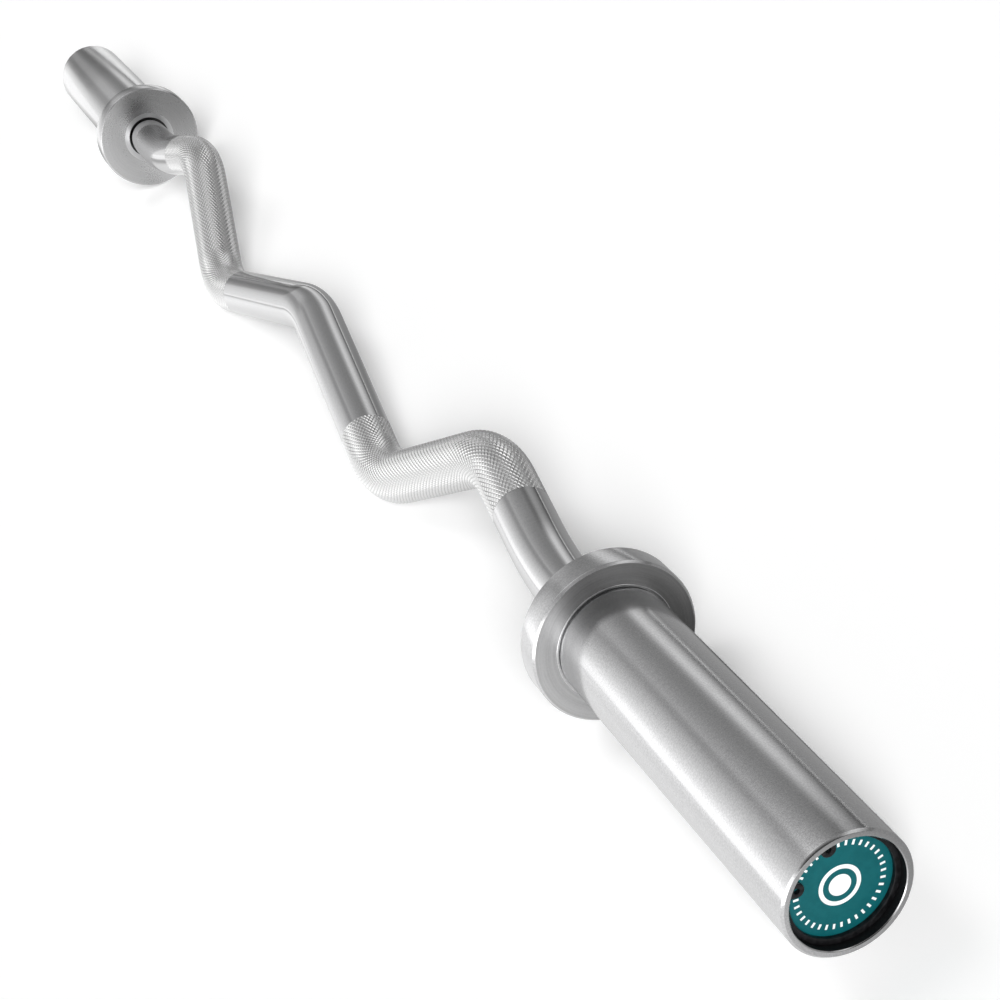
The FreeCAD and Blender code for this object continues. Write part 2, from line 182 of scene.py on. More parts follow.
def buildTurnedMarks(settings):  # rings left by turning and polishing, round the bar's axis
    group, given, result = newGroup(
        "turnedMarks", "ShaderNodeTree",
        [("Fineness", "NodeSocketFloat", 3000.0), ("Waver", "NodeSocketFloat", 0.0006)],
        [("Rings", "NodeSocketFloat"), ("Grain", "NodeSocketFloat")])
    coords = objectCoords(group)
    parts, radius = fromAxis(group, coords)
    waver = calc(group, "MULTIPLY", noise(group, coords, **settings["waver"]), given["Waver"])
    along = calc(group, "ADD", parts["X"], waver)
    out = calc(group, "ADD", radius, waver)
    rings = noise(group, combine(group, X=along, Y=out), given["Fineness"], **settings["rings"])
    group.links.new(rings, result["Rings"])
    group.links.new(noise(group, coords, **settings["grain"]), result["Grain"])
    return group


handlingSettings = {
    "smudge": {"detail": 5.0, "roughness": 0.55}, "smudgeRange": (0.35, 0.7),
    "hairline": {"scale": 1.0, "detail": 1.0}, "hairlineLevel": 0.5,
    "hairlineTurn": (0.5, 0.3, 0.6), "hairlineStretch": (40.0, 400.0, 260.0),
    "patch": {"scale": 45.0, "detail": 2.0}, "patchRange": (0.52, 0.68),  # where hairlines show
}


def buildHandling(settings):  # smudges from hands, and the hairlines that plates and racks leave
    group, given, result = newGroup(
        "handling", "ShaderNodeTree",
        [("Smudge Scale", "NodeSocketFloat", 26.0), ("Hairline Width", "NodeSocketFloat", 0.006)],
        [("Smudge", "NodeSocketFloat"), ("Hairline", "NodeSocketFloat")])
    coords = objectCoords(group)
    smudge = noise(group, coords, given["Smudge Scale"], **settings["smudge"])
    group.links.new(rise(group, smudge, *settings["smudgeRange"]), result["Smudge"])
    stretched = wire(group, "ShaderNodeMapping", {
        "Vector": coords, "Rotation": settings["hairlineTurn"], "Scale": settings["hairlineStretch"]})
    contour = noise(group, stretched["Vector"], **settings["hairline"])
    offLine = calc(group, "ABSOLUTE", calc(group, "SUBTRACT", contour, settings["hairlineLevel"]))
    line = fall(group, offLine, 0.0, given["Hairline Width"])
    where = rise(group, noise(group, coords, **settings["patch"]), *settings["patchRange"])
    group.links.new(calc(group, "MULTIPLY", line, where), result["Hairline"])
    return group


turnedMarks = buildTurnedMarks(turningSettings)
handling = buildHandling(handlingSettings)
print("shader groups ready")


# Finishes

toneRange = (0.3, 0.7)  # of a noise, from a finish's dark tone to its light one
hairlineCut = -0.15  # how far a hairline goes below the other marks


def emptyMaterial(name):
    material = bpy.data.materials.new(name)
    material.use_nodes = True
    material.node_tree.nodes.clear()
    return material, material.node_tree


def putOut(tree, shader):
    tree.links.new(shader, addNode(tree, "ShaderNodeOutputMaterial").inputs["Surface"])


def newFinish(name, **values):
    material, tree = emptyMaterial(name)
    shader = addNode(tree, "ShaderNodeBsdfPrincipled")
    putOut(tree, shader.outputs["BSDF"])
    for socket, value in values.items():
        shader.inputs[socket.replace("_", " ")].default_value = value
    return material, tree, shader


def addBump(tree, shader, height, distance):
    bump = wire(tree, "ShaderNodeBump", {"Strength": 1.0, "Distance": distance, "Height": height})
    tree.links.new(bump["Normal"], shader.inputs["Normal"])


def metalFinish(name, settings):  # satin or polished metal with turning rings, smudges and hairlines
    material, tree, shader = newFinish(name, Metallic=1.0)
    rings = placeGroup(tree, turnedMarks, Fineness=settings["fineness"])
    marks = placeGroup(tree, handling)
    ringShare = settings["ringShare"]
    grain = calc(tree, "MULTIPLY", rings["Grain"], 1 - ringShare)
    marked = calc(tree, "MULTIPLY_ADD", rings["Rings"], ringShare, grain)
    tone = rise(tree, marked, *toneRange)
    colour = blendColours(tree, tone, settings["dark"], settings["light"])
    tree.links.new(colour, shader.inputs["Base Color"])
    rough = calc(tree, "MULTIPLY_ADD", rings["Grain"], settings["grain"], settings["roughness"])
    rough = calc(tree, "MULTIPLY_ADD", marks["Smudge"], settings["smudge"], rough)
    rough = calc(tree, "MULTIPLY_ADD", marks["Hairline"], settings["hairline"], rough)
    tree.links.new(rough, shader.inputs["Roughness"])
    height = calc(tree, "MULTIPLY_ADD", marks["Hairline"], hairlineCut, marked)
    addBump(tree, shader, height, settings["depth"])
    return material


satinChrome = metalFinish("satinChrome", {
    "dark": (0.505, 0.505, 0.51, 1), "light": (0.62, 0.62, 0.625, 1), "fineness": 1500.0, "ringShare": 0.25,
    "roughness": 0.1, "grain": 0.08, "smudge": 0.04, "hairline": 0.03, "depth": 0.000008,
})
turnedChrome = metalFinish("turnedChrome", {
    "dark": (0.47, 0.47, 0.473, 1), "light": (0.59, 0.59, 0.593, 1), "fineness": 1500.0, "ringShare": 0.7,
    "roughness": 0.3, "grain": 0.06, "smudge": 0.05, "hairline": 0.03, "depth": 0.000006,
})
facedChrome = metalFinish("facedChrome", {
    "dark": (0.46, 0.46, 0.463, 1), "light": (0.54, 0.54, 0.543, 1), "fineness": 1500.0, "ringShare": 0.5,
    "roughness": 0.2, "grain": 0.1, "smudge": 0.05, "hairline": 0.03, "depth": 0.000006,
})
mouthChrome = metalFinish("mouthChrome", {
    "dark": (0.72, 0.72, 0.725, 1), "light": (0.8, 0.8, 0.805, 1), "fineness": 1500.0, "ringShare": 0.7,
    "roughness": 0.3, "grain": 0.1, "smudge": 0.05, "hairline": 0.03, "depth": 0.000004,
})
polishedSteel = metalFinish("polishedSteel", {
    "dark": (0.54, 0.54, 0.545, 1), "light": (0.6, 0.6, 0.605, 1), "fineness": 900.0, "ringShare": 0.3,
    "roughness": 0.06, "grain": 0.04, "smudge": 0.04, "hairline": 0.03, "depth": 0.000001,
})
bearingSteel = metalFinish("bearingSteel", {
    "dark": (0.42, 0.42, 0.43, 1), "light": (0.52, 0.52, 0.53, 1), "fineness": 4200.0, "ringShare": 0.8,
    "roughness": 0.16, "grain": 0.06, "smudge": 0.1, "hairline": 0.05, "depth": 0.000002,
})


def knurlFinish(name, settings):  # cut teeth: bright worn tips, duller valleys
    material, tree, shader = newFinish(name, Metallic=1.0)
    tooth = addNode(tree, "ShaderNodeAttribute", attribute_name="toothHeight").outputs["Fac"]
    marks = placeGroup(tree, handling)
    tip = rise(tree, tooth, *settings["tipRange"])
    colour = blendColours(tree, tip, settings["valley"], settings["tip"])
    tree.links.new(colour, shader.inputs["Base Color"])
    rough = calc(tree, "MULTIPLY_ADD", tip, settings["tipPolish"], settings["roughness"])
    rough = calc(tree, "MULTIPLY_ADD", marks["Smudge"], settings["smudge"], rough)
    tree.links.new(rough, shader.inputs["Roughness"])
    addBump(tree, shader, noise(tree, objectCoords(tree), **settings["grain"]), settings["depth"])
    return material


knurledSteel = knurlFinish("knurledSteel", {
    "valley": (0.62, 0.62, 0.62, 1), "tip": (0.7, 0.7, 0.7, 1), "tipRange": (0.0, 0.9),
    "roughness": 0.22, "tipPolish": -0.06, "smudge": 0.06,
    "grain": {"scale": 3500.0, "detail": 2.0}, "depth": 0.00001,
})


def blackOxideFinish(name, settings):  # dark spring steel, rubbed pale in places
    material, tree, shader = newFinish(name, Metallic=settings["metallic"])
    marks = placeGroup(tree, handling)
    mottle = noise(tree, objectCoords(tree), **settings["mottle"])
    mottle = rise(tree, mottle, *settings["mottleRange"])
    colour = blendColours(tree, mottle, settings["dark"], settings["light"])
    colour = blendColours(tree, marks["Hairline"], colour, settings["rubbed"])
    tree.links.new(colour, shader.inputs["Base Color"])
    rough = calc(tree, "MULTIPLY_ADD", mottle, settings["dullness"], settings["roughness"])
    tree.links.new(rough, shader.inputs["Roughness"])
    addBump(tree, shader, mottle, settings["depth"])
    return material


blackOxide = blackOxideFinish("blackOxide", {
    "dark": (0.008, 0.008, 0.009, 1), "light": (0.022, 0.022, 0.024, 1), "rubbed": (0.09, 0.09, 0.095, 1),
    "metallic": 0.6, "mottle": {"scale": 500.0, "detail": 4.0}, "mottleRange": (0.35, 0.7),
    "roughness": 0.34, "dullness": 0.2, "depth": 0.00001,
})


def mouldedFinish(name, settings):  # plastic, paint and rubber
    material, tree, shader = newFinish(name, Specular_IOR_Level=settings["gloss"])
    grain = noise(tree, objectCoords(tree), **settings["grain"])
    marks = placeGroup(tree, handling)
    tone = rise(tree, grain, *toneRange)
    colour = blendColours(tree, tone, settings["dark"], settings["light"])
    tree.links.new(colour, shader.inputs["Base Color"])
    rough = calc(tree, "MULTIPLY_ADD", marks["Smudge"], settings["smudge"], settings["roughness"])
    tree.links.new(rough, shader.inputs["Roughness"])
    addBump(tree, shader, grain, settings["depth"])
    return material


# Near black, darker than any real finish: painted shade for the recess wall in the sleeve's end
recessPaintedShade = mouldedFinish("recessPaintedShade", {
    "dark": (0.0015, 0.0015, 0.002, 1), "light": (0.004, 0.004, 0.0045, 1), "gloss": 0.2, "roughness": 0.5,
    "smudge": 0.12, "grain": {"scale": 900.0, "detail": 4.0, "roughness": 0.6}, "depth": 0.00002,
})
capPlastic = mouldedFinish("capPlastic", {
    "dark": (0.012, 0.012, 0.013, 1), "light": (0.02, 0.02, 0.021, 1), "gloss": 0.5, "roughness": 0.4,
    "smudge": 0.12, "grain": {"scale": 1800.0, "detail": 4.0, "roughness": 0.6}, "depth": 0.00002,
})
sealRubber = mouldedFinish("sealRubber", {
    "dark": (0.03, 0.03, 0.03, 1), "light": (0.05, 0.05, 0.05, 1), "gloss": 0.5, "roughness": 0.6,
    "smudge": 0.12, "grain": {"scale": 900.0, "detail": 4.0, "roughness": 0.6}, "depth": 0.00003,
})


def labelFinish(name, settings):  # teal print with plain rings and ticks
    material, tree, shader = newFinish(name, Specular_IOR_Level=settings["gloss"])
    coords = objectCoords(tree)
    parts, radius = fromAxis(tree, coords)
    soft = settings["soft"]

    def within(value, half):  # 1 inside, 0 outside, with a thin soft edge
        return fall(tree, value, half - soft, half + soft)

    def ring(middle, width):
        return within(calc(tree, "ABSOLUTE", calc(tree, "SUBTRACT", radius, middle)), width / 2)

    angle = calc(tree, "ARCTAN2", parts["Z"], parts["Y"])
    step = fullTurn / settings["tickCount"]
    inStep = calc(tree, "FLOORED_MODULO", angle, step)
    offTick = calc(tree, "ABSOLUTE", calc(tree, "SUBTRACT", inStep, step / 2))
    tick = within(calc(tree, "MULTIPLY", offTick, radius), settings["tickWidth"] / 2)
    tickMiddle = (settings["tickInner"] + settings["tickOuter"]) / 2
    tick = calc(tree, "MULTIPLY", tick, ring(tickMiddle, settings["tickOuter"] - settings["tickInner"]))
    ink = calc(tree, "MAXIMUM", tick, ring(settings["hubRing"], settings["hubRingWidth"]))
    ink = calc(tree, "MAXIMUM", ink, within(radius, settings["hubDisc"]))
    mottle = rise(tree, noise(tree, coords, **settings["mottle"]), *toneRange)
    teal = blendColours(tree, mottle, settings["teal"], settings["tealDeep"])
    tree.links.new(blendColours(tree, ink, teal, settings["ink"]), shader.inputs["Base Color"])
    rough = calc(tree, "MULTIPLY_ADD", mottle, settings["dullness"], settings["roughness"])
    tree.links.new(rough, shader.inputs["Roughness"])
    height = calc(tree, "MULTIPLY_ADD", ink, settings["inkHeight"], noise(tree, coords, **settings["grain"]))
    addBump(tree, shader, height, settings["depth"])
    return material


labelPrint = labelFinish("labelPrint", {
    "tickInner": 0.0155, "tickOuter": 0.0175, "tickWidth": 0.0009, "tickCount": 36,
    "hubRing": 0.0072, "hubRingWidth": 0.0016, "hubDisc": 0.0042, "soft": 0.00008,
    "teal": (0.004, 0.098, 0.11, 1), "tealDeep": (0.003, 0.084, 0.095, 1), "ink": (0.8, 0.84, 0.83, 1),
    "mottle": {"scale": 260.0, "detail": 5.0, "roughness": 0.6},
    "gloss": 0.15, "roughness": 0.4, "dullness": 0.1,
    "grain": {"scale": 2200.0, "detail": 2.0}, "inkHeight": 1.5, "depth": 0.000008,
})
print("finishes ready")


# Outlines and meshes

samePoint = 1e-7  # metres between vertices that are one
fewestArcSteps = 3


def roundedOutline(corners, arcStep):  # corners are (along, across, rounding)
    points = []
    for index, (along, across, rounding) in enumerate(corners):
        corner = Vector((along, across))
        if rounding == 0:
            points.append(corner)
            continue
        back = (Vector(corners[index - 1][:2]) - corner).normalized()
        ahead = (Vector(corners[(index + 1) % len(corners)][:2]) - corner).normalized()
        turn = math.pi - back.angle(ahead)
        centre = corner + (back + ahead).normalized() * (rounding / math.cos(turn / 2))
        arm = corner + back * (rounding * math.tan(turn / 2)) - centre
        swing = -math.copysign(turn, back.cross(ahead))
        steps = max(fewestArcSteps, math.ceil(turn / arcStep))
        for step in range(steps + 1):
            points.append(centre + Matrix.Rotation(swing * step / steps, 2) @ arm)
    return points


def stitch(bm, ring, following):  # smooth faces between two rings; a ring on the axis is one point, repeated
    faces = []
    for step in range(len(ring)):
        after = (step + 1) % len(ring)
        corners = (ring[step], ring[after], following[after], following[step])
        face = bm.faces.new(list(dict.fromkeys(corners)))
        face.smooth = True
        faces.append(face)
    return faces


def addObject(name, data):
    added = bpy.data.objects.new(name, data)
    bpy.context.collection.objects.link(added)
    return added


def meshObject(name, bm, materials):
    mesh = bpy.data.meshes.new(name)
    bm.to_mesh(mesh)
    bm.free()
    for material in materials:
        mesh.materials.append(material)
    return addObject(name, mesh)


def plainMesh(source):  # the evaluated shape as a plain mesh; its source is removed
    view = bpy.context.evaluated_depsgraph_get()
    mesh = bpy.data.meshes.new_from_object(source.evaluated_get(view))
    bpy.data.objects.remove(source)
    return mesh


def finishMesh(name, bm, materials, sharpAngle):
    bmesh.ops.remove_doubles(bm, verts=bm.verts, dist=samePoint)
    bmesh.ops.recalc_face_normals(bm, faces=bm.faces)
    for edge in bm.edges:
        faceted = not all(face.smooth for face in edge.link_faces)
        edge.smooth = not faceted and edge.calc_face_angle(math.pi) < sharpAngle
    openEdges = sum(not edge.is_manifold for edge in bm.edges)
    piece = meshObject(name, bm, materials)
    print(name, len(piece.data.polygons), "faces,", openEdges, "open edges")
    return piece


def handIn(piece, body, slot, *nodes):
    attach(piece, body)
    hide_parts(*nodes)


# Bent shaft, swept along its centreline, with two knurled grips

shaft = {
    "radius": 0.0135, "roundCount": 42, "bendStep": math.radians(1.5), "sharpAngle": math.radians(25),
    "outerRun": 0.0845, "gripRun": 0.1085, "centreRun": 0.159,
    "outerRise": 0.0215, "gripDrop": 0.059, "centreRise": 0.0403,
    "endBend": 0.21, "outerBend": 0.056, "deepBend": 0.063, "centreBend": 0.069,
    "shoulder": 0.412, "shoulderEdge": 0.0004, "journalRadius": 0.0125,
    "grooveStart": 0.5825, "grooveEnd": 0.5841, "grooveRadius": 0.0119,
    "journalEnd": 0.587, "journalChamfer": 0.001,
    "knurlOuter": 0.3085, "knurlInner": 0.1205,  # places of the knurl's ends along X
    "knurlValley": 0.0133, "knurlTooth": 0.00024, "knurlLand": 0.5, "knurlRows": 58, "knurlEdge": 0.0003,
    "cutGap": 0.000001,  # points of the centreline nearer than this to a cut are left out
    "toothWeld": 0.00002, "lipWeld": 0.00001,
}


def shaftCorners(size):
    first = size["centreRun"] + size["gripRun"] + size["outerRun"]
    lowest = size["outerRise"] - size["gripDrop"]
    half = [
        (size["journalEnd"], 0, 0),
        (first, 0, size["endBend"]),
        (first - size["outerRun"], size["outerRise"], size["outerBend"]),
        (size["centreRun"], lowest, size["deepBend"]),
    ]
    middle = (0, lowest + size["centreRise"], size["centreBend"])
    return [(-x, y, bend) for x, y, bend in half] + [middle] + half[::-1]


centreline = roundedOutline(shaftCorners(shaft), shaft["bendStep"])
deepest = -min(point.y for point in centreline)
restTilt = math.asin((axisHeight - shaft["radius"]) / deepest)  # both deep bends touch the floor
acrossBend = Vector((0, math.cos(restTilt), math.sin(restTilt)))
bendNormal = Vector((0, -math.sin(restTilt), math.cos(restTilt)))


def onCentreline(x):
    for before, after in zip(centreline, centreline[1:]):
        if before.x <= x <= after.x:
            return before.lerp(after, (x - before.x) / (after.x - before.x))


def centrelineBetween(low, high):
    gap = shaft["cutGap"]
    inner = [point for point in centreline if low + gap < point.x < high - gap]
    return [onCentreline(low)] + inner + [onCentreline(high)]


def toWorld(point):
    return Vector((point.x, 0, axisHeight)) + acrossBend * point.y


def sweepRings(bm, stations):  # stations are (centreline point, tangent, radius)
    count = 2 * shaft["roundCount"]
    rings = []
    for point, tangent, radius in stations:
        along = Vector((tangent.x, 0, 0)) + acrossBend * tangent.y
        outward = along.cross(bendNormal)
        ring = []
        for step in range(count):
            angle = fullTurn * step / count
            reach = outward * math.cos(angle) + bendNormal * math.sin(angle)
            ring.append(bm.verts.new(toWorld(point) + reach * radius))
        rings.append(ring)
    for ring, following in zip(rings, rings[1:]):
        stitch(bm, ring, following)
    return rings


def smoothStations(low, high):  # plain round bar between two places along X
    points = centrelineBetween(low, high)
    directions = [(after - before).normalized() for before, after in zip(points, points[1:])]
    tangents = [directions[0]]
    tangents += [(one + two).normalized() for one, two in zip(directions, directions[1:])]
    tangents.append(directions[-1])
    return [(point, tangent, shaft["radius"]) for point, tangent in zip(points, tangents)]


def knurlLip(station, inward):  # the step from the knurl's valleys up to the plain bar
    point, tangent, radius = station
    edge = point + tangent * (shaft["knurlEdge"] * inward)
    return [
        (point, tangent, shaft["knurlValley"]),
        (point, tangent, radius - shaft["knurlEdge"] / 2),
        (edge, tangent, radius),
    ]


def journalStations(side):
    straight = Vector((1, 0))
    steps = [
        (shaft["shoulder"] - shaft["shoulderEdge"], shaft["radius"]),
        (shaft["shoulder"], shaft["radius"] - shaft["shoulderEdge"]),
        (shaft["shoulder"], shaft["journalRadius"]),
        (shaft["grooveStart"], shaft["journalRadius"]),
        (shaft["grooveStart"], shaft["grooveRadius"]),
        (shaft["grooveEnd"], shaft["grooveRadius"]),
        (shaft["grooveEnd"], shaft["journalRadius"]),
        (shaft["journalEnd"] - shaft["journalChamfer"], shaft["journalRadius"]),
        (shaft["journalEnd"], shaft["journalRadius"] - shaft["journalChamfer"]),
    ]
    stations = [(Vector((side * x, 0)), straight, radius) for x, radius in steps]
    return stations if side > 0 else stations[::-1]


def buildKnurlTree():
    tree, given, result = newGroup(
        "diamondKnurl", "GeometryNodeTree",
        [("Centreline", "NodeSocketGeometry", None), ("Valley Radius", "NodeSocketFloat", 0.013),
         ("Tooth Height", "NodeSocketFloat", 0.0003), ("Land Share", "NodeSocketFloat", 0.6),
         ("Round Count", "NodeSocketInt", 42), ("Rows", "NodeSocketInt", 58),
         ("Weld", "NodeSocketFloat", 0.00002), ("Bend Normal", "NodeSocketVector", None),
         ("Finish", "NodeSocketMaterial", None)],
        [("Knurl", "NodeSocketGeometry")])
    curve = wire(tree, "GeometryNodeMeshToCurve", {"Mesh": given["Centreline"]})["Curve"]
    length = wire(tree, "GeometryNodeCurveLength", {"Curve": curve})["Length"]
    cellLong = calc(tree, "DIVIDE", length, given["Rows"])
    cellRound = calc(tree, "DIVIDE", fullTurn, given["Round Count"])
    halfLong = calc(tree, "MULTIPLY", cellLong, 0.5)
    halfRound = calc(tree, "MULTIPLY", cellRound, 0.5)

    grid = wire(tree, "GeometryNodeMeshGrid", {  # tooth places on the unrolled grip
        "Size X": length, "Size Y": calc(tree, "SUBTRACT", fullTurn, cellRound),
        "Vertices X": calc(tree, "MULTIPLY_ADD", given["Rows"], 2.0, 1.0),
        "Vertices Y": given["Round Count"]})
    spot = split(tree, addNode(tree, "GeometryNodeInputPosition").outputs[0])
    column = calc(tree, "DIVIDE", calc(tree, "MULTIPLY_ADD", length, 0.5, spot["X"]), halfLong)
    odd = calc(tree, "FLOORED_MODULO", calc(tree, "ROUND", column), 2.0)
    stagger = combine(tree, X=calc(tree, "MULTIPLY", length, 0.5), Y=calc(tree, "MULTIPLY", odd, halfRound))
    spots = wire(tree, "GeometryNodeSetPosition", {"Geometry": grid["Mesh"], "Offset": stagger})["Geometry"]

    tooth = wire(tree, "GeometryNodeMeshCone", {  # a diamond with a flat land on top
        "Vertices": 4, "Radius Top": given["Land Share"], "Radius Bottom": 1.0, "Depth": 1.0},
        fill_type="NGON")
    openTooth = wire(tree, "GeometryNodeDeleteGeometry", {
        "Geometry": tooth["Mesh"], "Selection": tooth["Bottom"]}, domain="FACE")["Geometry"]
    cell = combine(tree, X=halfLong, Y=halfRound, Z=given["Tooth Height"])
    teeth = wire(tree, "GeometryNodeInstanceOnPoints", {
        "Points": spots, "Instance": openTooth, "Scale": cell})["Instances"]
    real = wire(tree, "GeometryNodeRealizeInstances", {"Geometry": teeth})["Geometry"]

    # Along, round and height of each tooth's corners, and then their places round the bent bar
    flat = split(tree, addNode(tree, "GeometryNodeInputPosition").outputs[0])
    marked = wire(tree, "GeometryNodeStoreNamedAttribute", {
        "Geometry": real, "Name": "toothHeight",
        "Value": calc(tree, "DIVIDE", flat["Z"], given["Tooth Height"])},
        data_type="FLOAT", domain="POINT")["Geometry"]
    kept = calc(tree, "MINIMUM", calc(tree, "MAXIMUM", flat["X"], 0.0), length)
    sample = wire(tree, "GeometryNodeSampleCurve", {"Curves": curve, "Length": kept}, mode="LENGTH")
    outward = vectorCalc(tree, "CROSS_PRODUCT", sample["Tangent"], given["Bend Normal"])
    sideways = vectorCalc(tree, "SCALE", outward, calc(tree, "COSINE", flat["Y"]))
    upwards = vectorCalc(tree, "SCALE", given["Bend Normal"], calc(tree, "SINE", flat["Y"]))
    radius = calc(tree, "ADD", given["Valley Radius"], flat["Z"])
    reach = vectorCalc(tree, "SCALE", vectorCalc(tree, "ADD", sideways, upwards), radius)
    wrapped = wire(tree, "GeometryNodeSetPosition", {
        "Geometry": marked, "Position": vectorCalc(tree, "ADD", sample["Position"], reach)})["Geometry"]
    welded = wire(tree, "GeometryNodeMergeByDistance", {
        "Geometry": wrapped, "Distance": given["Weld"]})["Geometry"]
    finished = wire(tree, "GeometryNodeSetMaterial", {"Geometry": welded, "Material": given["Finish"]})
    tree.links.new(finished["Geometry"], result["Knurl"])
    return tree


knurlTree = buildKnurlTree()


def knurledGrip(low, high):  # a plain mesh of the teeth between two places along X
    points = [toWorld(point) for point in centrelineBetween(low, high)]
    mesh = bpy.data.meshes.new("gripLine")
    mesh.from_pydata(points, [(index, index + 1) for index in range(len(points) - 1)], [])
    grip = addObject("gripLine", mesh)
    modifier = grip.modifiers.new("knurl", "NODES")
    modifier.node_group = knurlTree
    values = {
        "Valley Radius": shaft["knurlValley"], "Tooth Height": shaft["knurlTooth"],
        "Land Share": shaft["knurlLand"], "Round Count": shaft["roundCount"], "Rows": shaft["knurlRows"],
        "Weld": shaft["toothWeld"], "Bend Normal": bendNormal, "Finish": knurledSteel,
    }
    for item in knurlTree.interface.items_tree:
        if item.in_out == "INPUT" and item.name in values:
            modifier[item.identifier] = values[item.name]
    return plainMesh(grip)


def buildShaft():
    bm = bmesh.new()
    finishes = [polishedSteel, knurledSteel]
    outer = shaft["knurlOuter"]
    inner = shaft["knurlInner"]
    plainEnd = shaft["shoulder"] - 2 * shaft["shoulderEdge"]
    right = smoothStations(outer, plainEnd)
    left = smoothStations(-plainEnd, -outer)
    centre = smoothStations(-inner, inner)
    rightRings = sweepRings(bm, knurlLip(right[0], 1) + right[1:] + journalStations(1))
    leftRings = sweepRings(bm, journalStations(-1) + left[:-1] + knurlLip(left[-1], -1)[::-1])
    sweepRings(bm, knurlLip(centre[0], 1) + centre[1:-1] + knurlLip(centre[-1], -1)[::-1])
    for ring in (rightRings[-1], leftRings[0]):
        bm.faces.new(ring).smooth = True
    for low, high in ((inner, outer), (-outer, -inner)):
        plain = set(bm.faces)
        grip = knurledGrip(low, high)
        bm.from_mesh(grip)
        for face in bm.faces:
            if face not in plain:
                face.material_index = finishes.index(knurledSteel)
                face.smooth = False
        bpy.data.meshes.remove(grip)
    bmesh.ops.remove_doubles(bm, verts=bm.verts, dist=shaft["lipWeld"])
    return finishMesh("bentShaft", bm, finishes, shaft["sharpAngle"])


handIn(buildShaft(), "shaft", "shaft_steel", "bent_shaft")
print("shaft ready")


# Turned pieces: each corner is (out from the collar's inner face, radius, rounding)

turning = {"roundCount": 256, "arcStep": math.radians(15), "sharpAngle": math.radians(40)}


def turnedPiece(name, corners, side, materials, closed=True, pickFinish=None):
    count = turning["roundCount"]
    angles = [fullTurn * step / count for step in range(count)]
    bm = bmesh.new()
    rings = []
    for out, radius in roundedOutline(corners, turning["arcStep"]):
        x = side * (collarFace + out)
        if radius == 0:
            rings.append([bm.verts.new((x, 0, axisHeight))] * count)
            continue
        rings.append([
            bm.verts.new((x, radius * math.cos(angle), axisHeight + radius * math.sin(angle)))
            for angle in angles])
    following = rings[1:] + rings[:1] if closed else rings[1:]
    for ring, nextRing in zip(rings, following):
        for face in stitch(bm, ring, nextRing):
            if pickFinish:
                middle = face.calc_center_median()
                finish = pickFinish(abs(middle.x) - collarFace, math.hypot(middle.y, middle.z - axisHeight))
                face.material_index = materials.index(finish)
    return finishMesh(name, bm, materials, turning["sharpAngle"])


collar = {
    "radius": 0.036, "thickness": 0.014, "wall": 0.004, "edge": 0.001, "rounding": 0.0004,
    "mouth": 0.0144, "bevelWidth": 0.0036, "bevelDepth": 0.0008, "spigot": 0.0235,
    "lipRadius": 0.0261, "lipBore": 0.0245, "lipHeight": 0.0007,  # thin lip round the sleeve's root
    "faceFrom": 0.0138,  # what lies further out is the outer face
}


def collarOutline(size):
    rounding = size["rounding"]
    thickness = size["thickness"]
    lipTop = thickness + size["lipHeight"]
    edgeRadius = size["radius"] - size["edge"]
    return [
        (0, size["mouth"] + size["bevelWidth"], rounding),
        (0, edgeRadius, rounding),
        (size["edge"], size["radius"], rounding),
        (thickness - size["edge"], size["radius"], rounding),
        (thickness, edgeRadius, rounding),
        (thickness, size["lipRadius"], 0),
        (lipTop, size["lipRadius"], rounding),
        (lipTop, size["lipBore"], 0),
        (thickness, size["lipBore"], 0),
        (thickness, size["spigot"], 0),
        (size["wall"], size["spigot"], 0),
        (size["wall"], size["mouth"], 0),
        (size["bevelDepth"], size["mouth"], rounding),
    ]


def collarFinish(out, radius):  # the two faces are duller than the rim, and the mouth's bevel is bright
    if out > collar["faceFrom"] and radius > collar["lipRadius"]:
        return turnedChrome
    if out > collar["bevelDepth"]:
        return satinChrome
    if radius < collar["mouth"] + collar["bevelWidth"]:
        return mouthChrome
    return facedChrome if radius < collar["radius"] - collar["edge"] else satinChrome


sleeve = {
    "radius": 0.025, "end": 0.198, "start": 0.004, "bore": 0.016, "spigot": 0.0235,
    "rootRadius": 0.0244, "rootEnd": 0.0155, "rimChamfer": 0.0009, "rimInner": 0.0004, "rounding": 0.0003,
    "recess": 0.022, "grooveRadius": 0.023, "grooveTop": 0.1941, "capTop": 0.192, "capFloor": 0.189,
    "paintedShadeFrom": 0.1885, "paintedShadeWithin": 0.02205,  # the recess wall in the end is painted near black: painted shade
}


def sleeveOutline(size):
    rounding = size["rounding"]
    return [
        (size["start"], size["bore"], 0),
        (size["start"], size["spigot"], 0),
        (collar["thickness"], size["spigot"], 0),
        (collar["thickness"], size["rootRadius"], 0),
        (size["rootEnd"], size["rootRadius"], 0),
        (size["rootEnd"], size["radius"], rounding),
        (size["end"] - size["rimChamfer"], size["radius"], rounding),
        (size["end"], size["radius"] - size["rimChamfer"], rounding),
        (size["end"], size["recess"] + size["rimInner"], rounding / 2),
        (size["end"] - size["rimInner"], size["recess"], rounding / 2),
        (size["grooveTop"], size["recess"], 0),
        (size["grooveTop"], size["grooveRadius"], 0),
        (size["capTop"], size["grooveRadius"], 0),
        (size["capTop"], size["recess"], 0),
        (size["capFloor"], size["recess"], 0),
        (size["capFloor"], size["bore"], 0),
    ]


def sleeveFinish(out, radius):
    # The recess wall takes a colour far darker than the cap's plastic: painted shade in the recess
    inRecess = out > sleeve["paintedShadeFrom"] and radius < sleeve["paintedShadeWithin"]
    return recessPaintedShade if inRecess else satinChrome


cap = {"radius": 0.0219, "inlay": 0.0205, "inlayFloor": 0.1915, "rounding": 0.0003}


